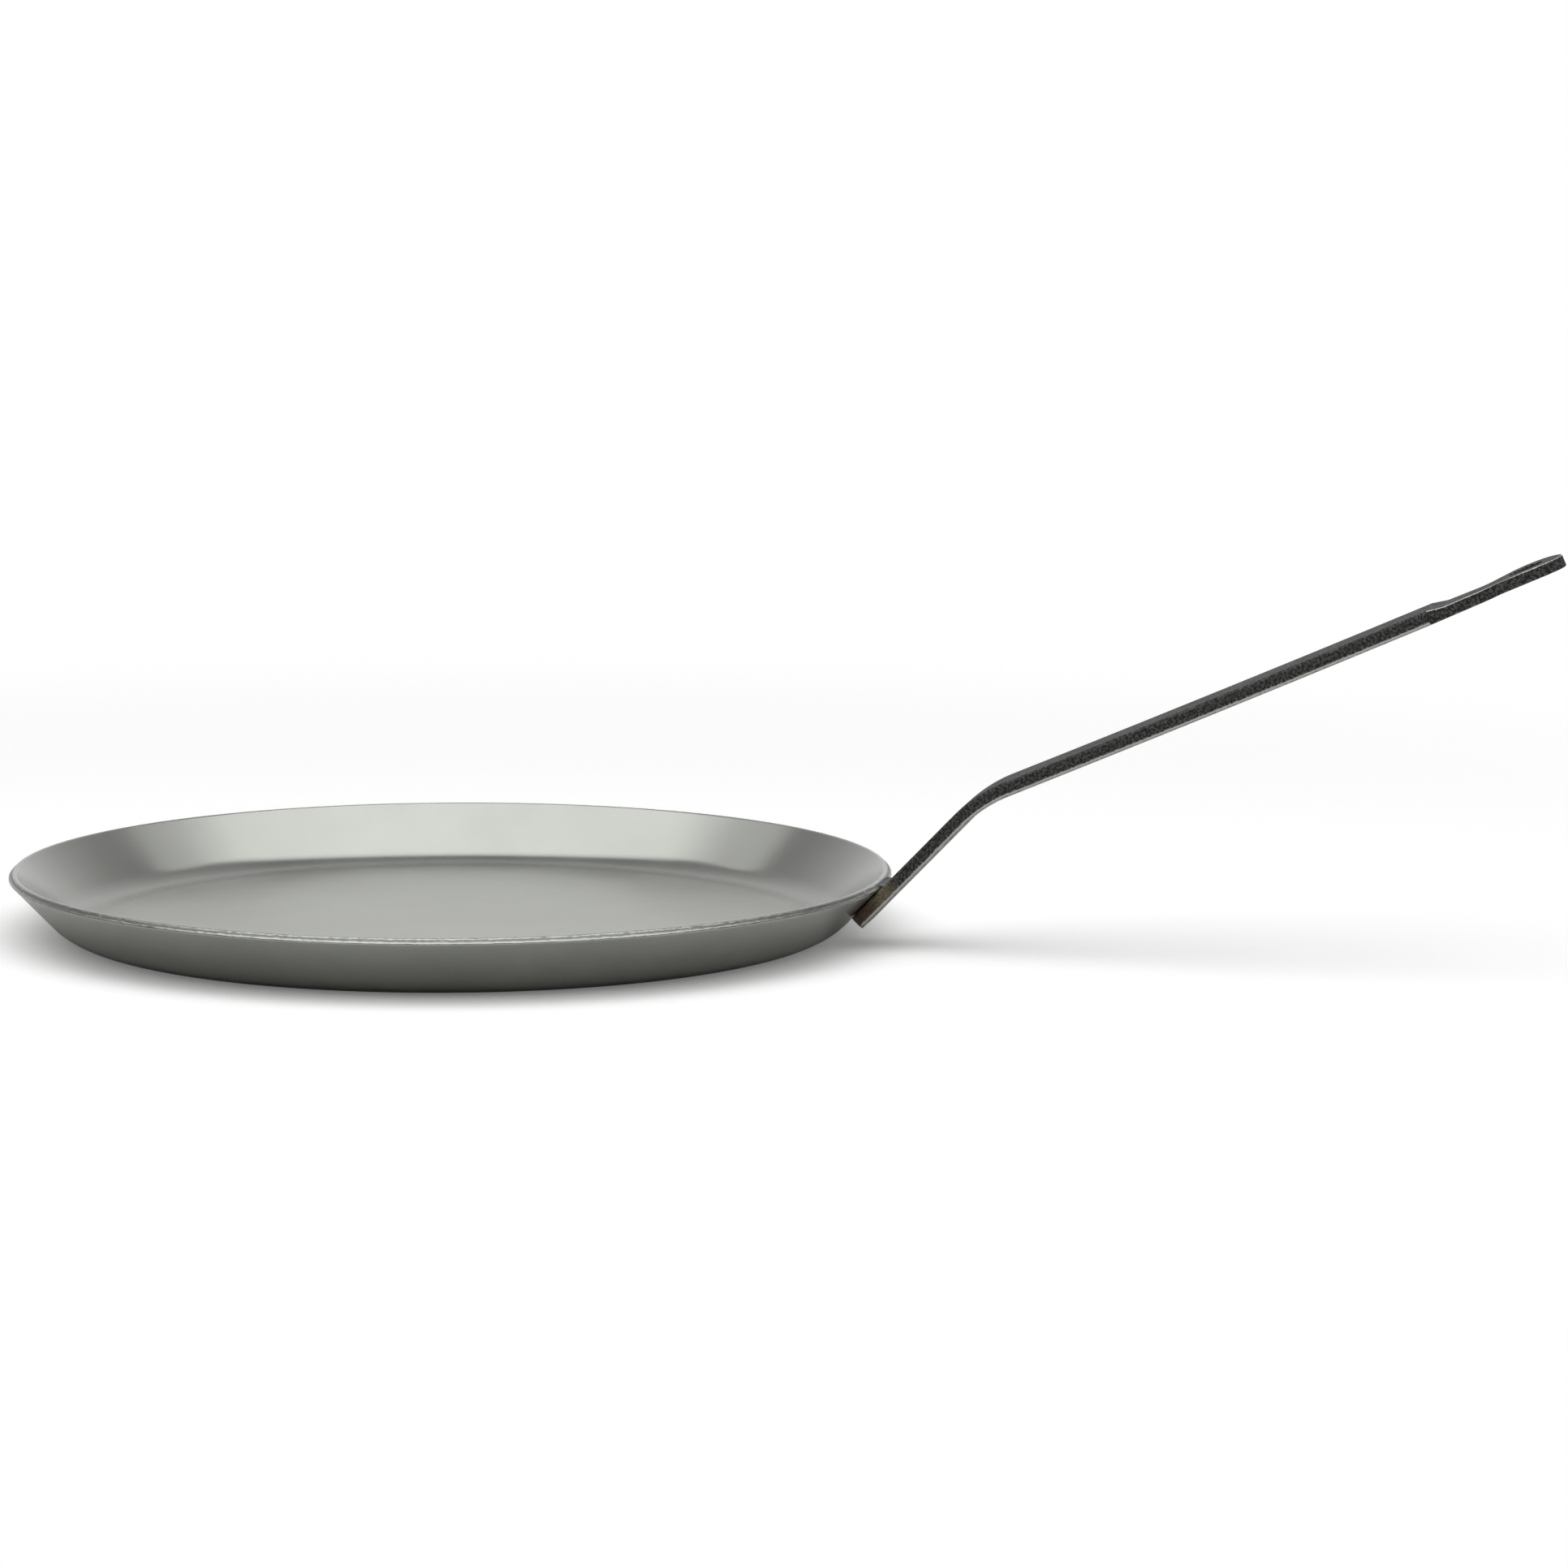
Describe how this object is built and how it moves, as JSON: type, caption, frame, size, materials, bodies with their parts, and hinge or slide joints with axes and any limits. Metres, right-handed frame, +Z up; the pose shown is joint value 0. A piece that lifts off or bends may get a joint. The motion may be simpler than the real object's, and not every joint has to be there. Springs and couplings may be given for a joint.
{
  "type": "crepe pan",
  "caption": "Shallow round steel pan with a flat floor and low flared wall, and a bent flat bar handle welded under its rim.",
  "frame": {"origin": "centre of the flat underside of the dish, on the surface that the pan stands on", "axes": "+Z up, +X along the handle towards its hanging hole, Y across the handle"},
  "size_m": [0.422, 0.2396, 0.1097],
  "materials": {
    "dish_steel": "bare carbon steel sheet, satin, finely brushed",
    "handle_coating": "black baked coating on steel, satin, fine grained",
    "weld_metal": "weld metal as laid, dull grey"
  },
  "bodies": {
    "root": {"dish": "dish_steel", "handle": "handle_coating", "rim_weld": "weld_metal", "spot_weld": "weld_metal"}
  },
  "joints": []
}
